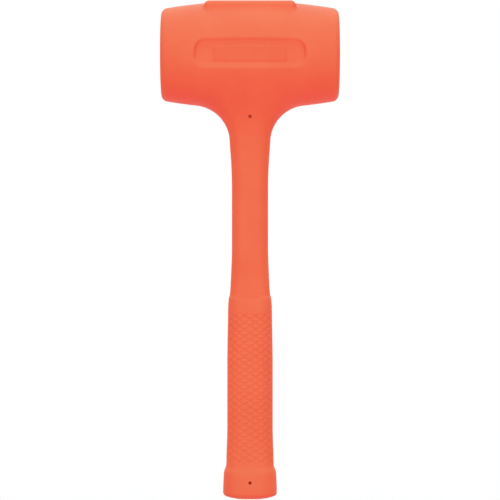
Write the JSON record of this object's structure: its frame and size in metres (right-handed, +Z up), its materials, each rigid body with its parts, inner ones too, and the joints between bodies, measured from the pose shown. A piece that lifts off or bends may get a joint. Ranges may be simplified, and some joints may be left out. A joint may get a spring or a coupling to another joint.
{
  "type": "dead blow mallet",
  "caption": "One-piece cast urethane dead blow mallet: crowned barrel head filled with steel shot, flat strike faces, flared neck, slim steel-cored handle and textured grip.",
  "frame": {"origin": "on the handle's axis, level with where the two prongs of a hanging rack bear on the neck under the head, 44 mm below the head's axis", "axes": "+Z up along the handle towards the head, +X along the head from the left strike face to the right one, -Y out of the front recessed panel"},
  "size_m": [0.127, 0.0754, 0.3556],
  "materials": {
    "urethane": "satin",
    "canister_steel": "satin",
    "weld_steel": "matte",
    "rod_steel": "satin",
    "shot_steel": "satin"
  },
  "bodies": {
    "mallet": {"urethane_casing": "urethane", "canister_tube": "canister_steel", "canister_cap_left": "canister_steel", "canister_cap_right": "canister_steel", "cap_weld_left": "weld_steel", "cap_weld_right": "weld_steel", "rod_socket": "canister_steel", "socket_weld": "weld_steel", "rod_weld": "weld_steel", "handle_rod": "rod_steel"},
    "shot_1": {"shot_layer_1": "shot_steel"},
    "shot_2": {"shot_layer_2": "shot_steel"},
    "shot_3": {"shot_layer_3": "shot_steel"},
    "shot_4": {"shot_layer_4": "shot_steel"},
    "shot_5": {"shot_layer_5": "shot_steel"}
  },
  "joints": [
    {"name": "shot_1_slide", "type": "slide", "parent": "mallet", "child": "shot_1", "axis": [1, 0, 0], "range_m": [-0.0042, 0.0042]},
    {"name": "shot_2_slide", "type": "slide", "parent": "mallet", "child": "shot_2", "axis": [1, 0, 0], "range_m": [-0.0042, 0.0042]},
    {"name": "shot_3_slide", "type": "slide", "parent": "mallet", "child": "shot_3", "axis": [1, 0, 0], "range_m": [-0.0079, 0.0079]},
    {"name": "shot_4_slide", "type": "slide", "parent": "mallet", "child": "shot_4", "axis": [1, 0, 0], "range_m": [-0.0115, 0.0115]},
    {"name": "shot_5_slide", "type": "slide", "parent": "mallet", "child": "shot_5", "axis": [1, 0, 0], "range_m": [-0.0152, 0.0152]}
  ]
}
